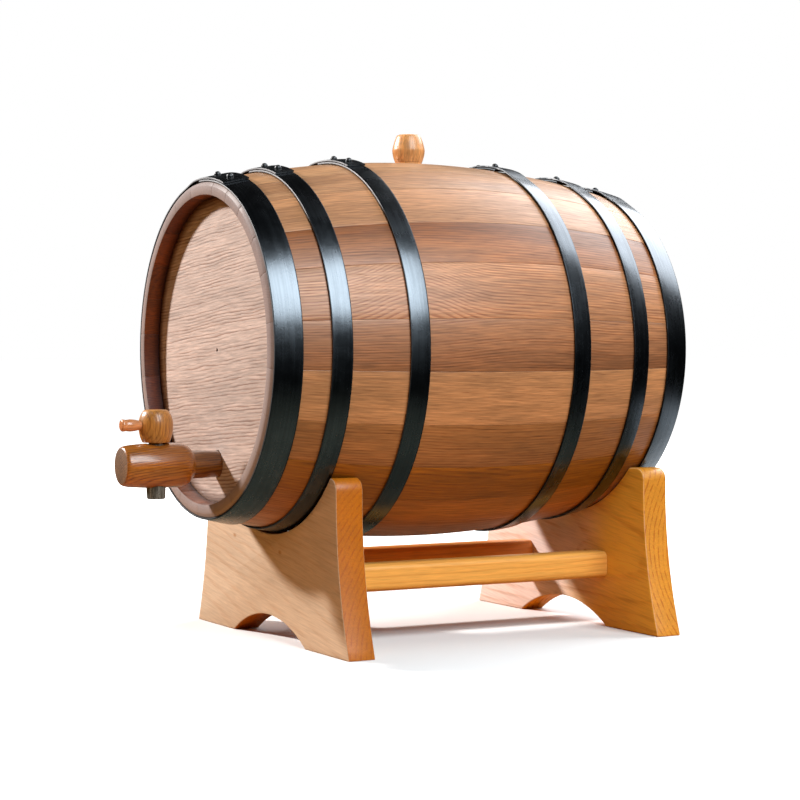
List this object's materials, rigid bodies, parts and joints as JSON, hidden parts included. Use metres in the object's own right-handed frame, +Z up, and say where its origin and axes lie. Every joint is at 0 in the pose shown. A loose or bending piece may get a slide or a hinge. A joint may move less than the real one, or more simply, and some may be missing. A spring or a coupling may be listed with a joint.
{
  "type": "oak wine barrel with tap on a cradle stand",
  "caption": "Small oak barrel lying on a two-board pine cradle, with black riveted hoops, a wooden tap in its front head and a turned bung on top.",
  "frame": {"origin": "on the floor under the middle of the whole object's box", "axes": "+Z up; the barrel's axis runs along Y and the head with the tap faces -Y; +X to the right seen from the front"},
  "size_m": [0.2569, 0.3676, 0.3424],
  "materials": {
    "stave_oak": "planed and oiled oak, satin, each stave its own tone",
    "head_oak": "pale unstained oak, matt, fine wavy grain",
    "hoop_iron": "satin black painted steel strap",
    "rivet_iron": "satin black painted steel rivet",
    "bung_wood": "turned honey-coloured wood, satin",
    "tap_wood": "turned oiled hardwood, glossy",
    "handle_wood": "turned orange-red hardwood, glossy",
    "tap_cork": "dark waxed cork sleeve",
    "stand_pine": "pine board, pale sanded faces and orange lacquered edges",
    "stretcher_pine": "pine bar, orange lacquer, satin"
  },
  "bodies": {
    "stand": {"cradle_board_front": "stand_pine", "cradle_board_rear": "stand_pine", "stretcher_left": "stretcher_pine", "stretcher_right": "stretcher_pine"},
    "barrel": {"stave_01": "stave_oak", "stave_02": "stave_oak", "stave_03": "stave_oak", "stave_04": "stave_oak", "stave_05": "stave_oak", "stave_06": "stave_oak", "stave_07": "stave_oak", "stave_08": "stave_oak", "stave_09": "stave_oak", "stave_10": "stave_oak", "stave_11": "stave_oak", "stave_12": "stave_oak", "stave_13": "stave_oak", "stave_14": "stave_oak", "stave_15": "stave_oak", "stave_16": "stave_oak", "stave_17": "stave_oak", "stave_18": "stave_oak", "stave_19": "stave_oak", "stave_20": "stave_oak", "stave_21": "stave_oak", "stave_22": "stave_oak", "stave_23": "stave_oak", "stave_24": "stave_oak", "front_head": "head_oak", "rear_head": "head_oak", "hoop_head_front": "hoop_iron", "hoop_head_rear": "hoop_iron", "hoop_quarter_front": "hoop_iron", "hoop_quarter_rear": "hoop_iron", "hoop_bilge_front": "hoop_iron", "hoop_bilge_rear": "hoop_iron", "rivet_head_front_1": "rivet_iron", "rivet_head_front_2": "rivet_iron", "rivet_head_rear_1": "rivet_iron", "rivet_head_rear_2": "rivet_iron", "rivet_quarter_front_1": "rivet_iron", "rivet_quarter_front_2": "rivet_iron", "rivet_quarter_rear_1": "rivet_iron", "rivet_quarter_rear_2": "rivet_iron", "rivet_bilge_front_1": "rivet_iron", "rivet_bilge_front_2": "rivet_iron", "rivet_bilge_rear_1": "rivet_iron", "rivet_bilge_rear_2": "rivet_iron", "tap_body": "tap_wood", "tap_sleeve": "tap_cork"},
    "bung": {"bung": "bung_wood"},
    "tap_key": {"tap_key": "tap_wood", "tap_key_handle": "handle_wood"}
  },
  "joints": [
    {"name": "barrel_lift", "type": "slide", "parent": "stand", "child": "barrel", "axis": [0, 0, 1], "range_m": [0, 0.15]},
    {"name": "bung_pull", "type": "slide", "parent": "barrel", "child": "bung", "axis": [0, 0, 1], "range_m": [0, 0.05]},
    {"name": "tap_key_turn", "type": "hinge", "parent": "barrel", "child": "tap_key", "pos_m": [0, -0.15945, 0.1187], "axis": [0, 0, 1], "continuous": true}
  ]
}
